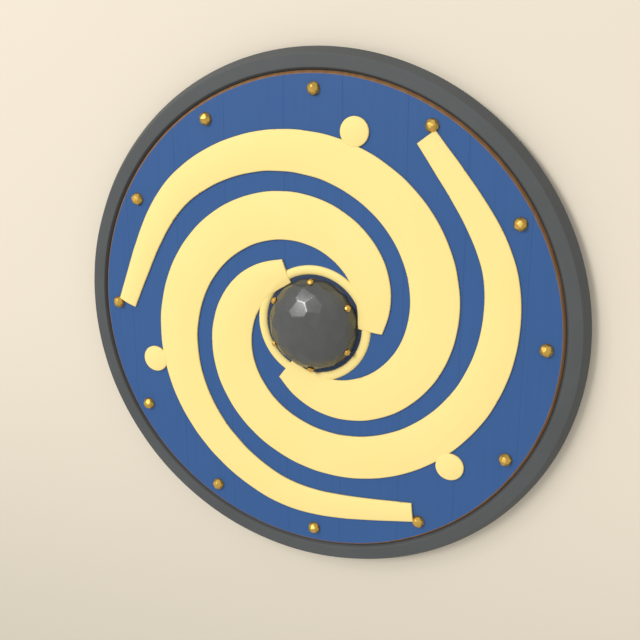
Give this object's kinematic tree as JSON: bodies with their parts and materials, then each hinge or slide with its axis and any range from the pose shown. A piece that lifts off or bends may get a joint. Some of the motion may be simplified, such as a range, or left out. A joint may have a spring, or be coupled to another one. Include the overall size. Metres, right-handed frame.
{
  "type": "round shield",
  "caption": "Large round wooden shield with a folded iron rim, a domed iron boss, raised painted spiral arms, brass rivets and a wooden centre grip across its back.",
  "frame": {"origin": "middle of the plane that the rim's flat back rests on, on the shield's own axis", "axes": "+Z out of the painted front, +Y to the top of the shield, +X along the grip"},
  "size_m": [0.852, 0.852, 0.0821],
  "materials": {
    "board": "planks, matt blue oil paint on the front, the bevelled edge and the back bare oiled wood",
    "rim_iron": "dark blackened sheet iron, matt, rubbed bright along the folds",
    "boss_iron": "dark beaten iron, half polished",
    "brass": "worn brass",
    "yellow_wood": "matt pale yellow oil paint on wood",
    "grip_wood": "oiled ash, darkened by the hand"
  },
  "bodies": {
    "root": {"board": "board", "rim": "rim_iron", "boss": "boss_iron", "boss_ring": "yellow_wood", "grip": "grip_wood", "spiral_arm_1": "yellow_wood", "spiral_arm_2": "yellow_wood", "spiral_arm_3": "yellow_wood", "disc_1": "yellow_wood", "disc_2": "yellow_wood", "disc_3": "yellow_wood", "rim_rivet_1": "brass", "rim_rivet_2": "brass", "rim_rivet_3": "brass", "rim_rivet_4": "brass", "rim_rivet_5": "brass", "rim_rivet_6": "brass", "rim_rivet_7": "brass", "rim_rivet_8": "brass", "rim_rivet_9": "brass", "rim_rivet_10": "brass", "rim_rivet_11": "brass", "rim_rivet_12": "brass", "boss_nail_1": "brass", "boss_nail_2": "brass", "boss_nail_3": "brass", "boss_nail_4": "brass", "boss_nail_5": "brass", "boss_nail_6": "brass"}
  },
  "joints": []
}
